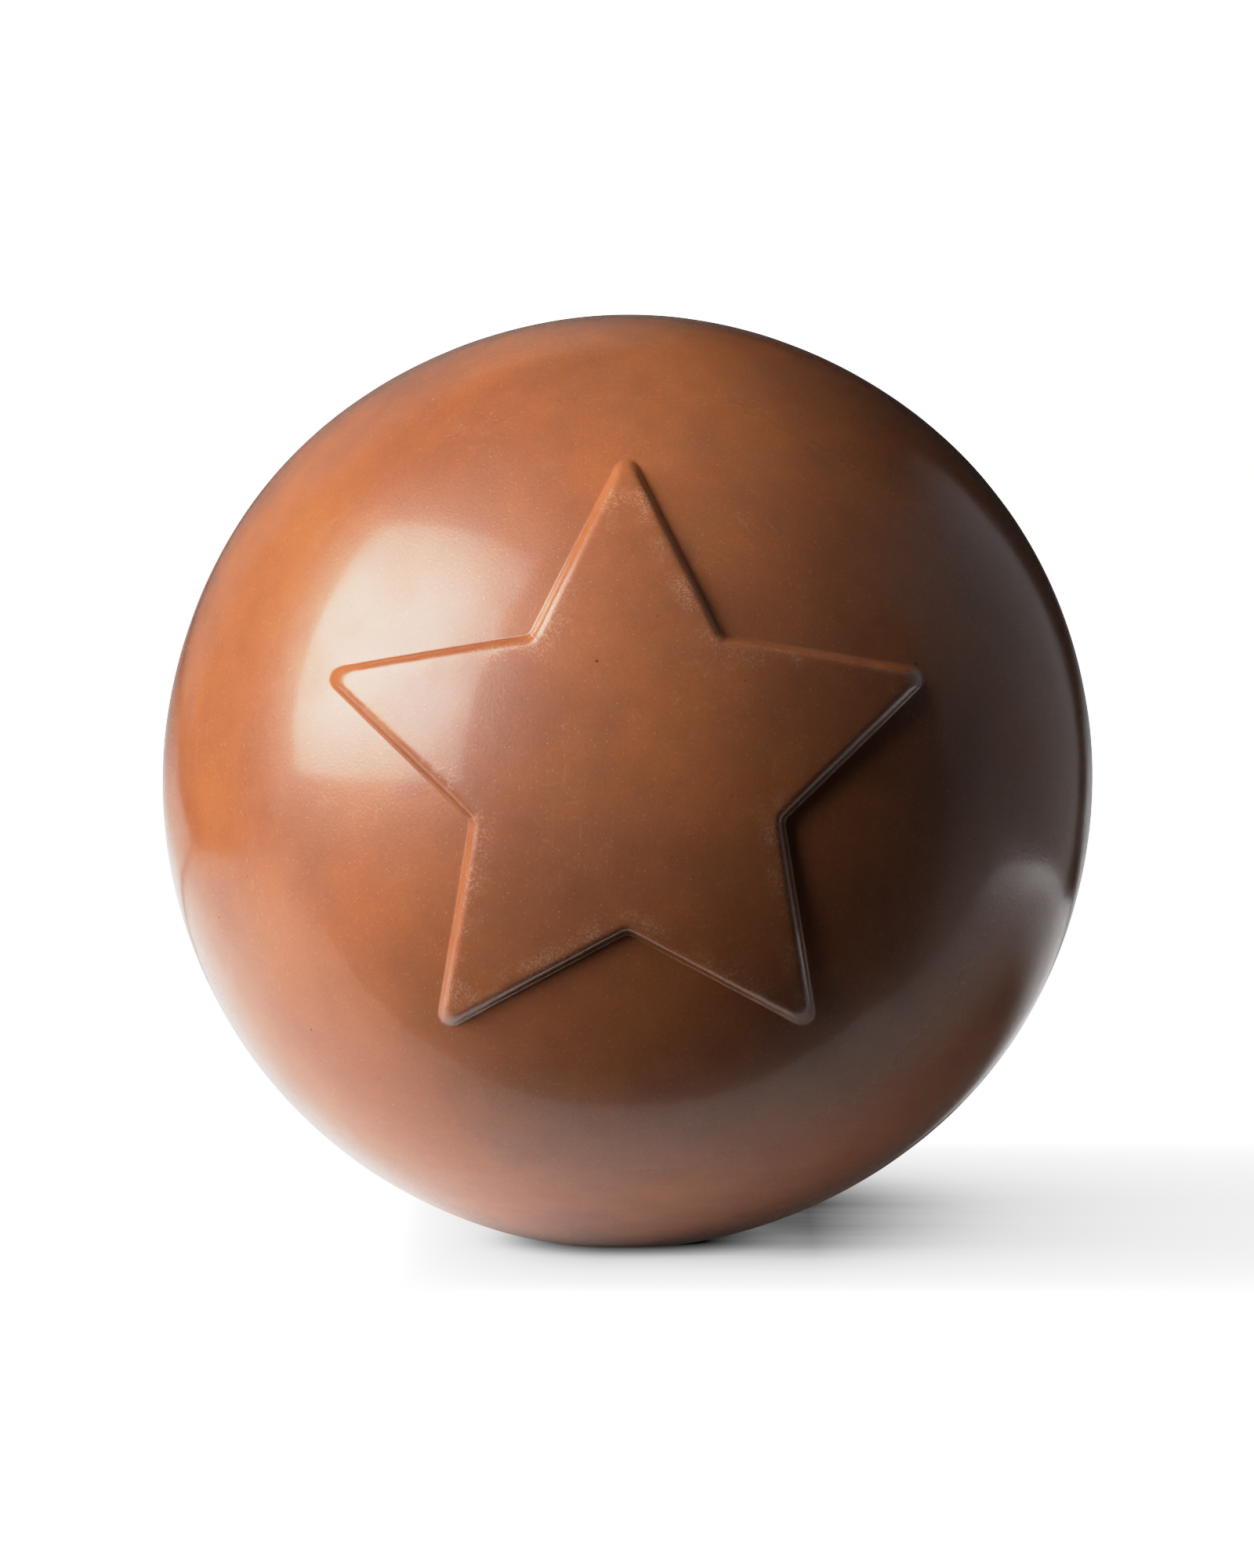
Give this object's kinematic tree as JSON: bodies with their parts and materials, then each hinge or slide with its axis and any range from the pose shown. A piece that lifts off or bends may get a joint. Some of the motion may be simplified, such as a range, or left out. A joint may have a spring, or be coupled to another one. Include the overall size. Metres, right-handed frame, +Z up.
{
  "type": "hot chocolate sphere",
  "caption": "Glossy ball of moulded milk chocolate for melting in hot milk, with a large raised star on its front, resting on a small flat spot.",
  "frame": {"origin": "middle of the flat spot that the ball rests on, straight below the ball's centre", "axes": "+Z up, out of the surface it stands on; -Y towards the front with the raised star, which looks up by 6.2 degrees; +X to the right of someone facing the star"},
  "size_m": [0.06, 0.0608, 0.0598],
  "materials": {
    "milk_chocolate": "polished milk chocolate, glossy where it touched the mould, with a fine sandy grain, pale specks and frosted relief edges"
  },
  "bodies": {
    "root": {"chocolate_ball": "milk_chocolate"}
  },
  "joints": []
}
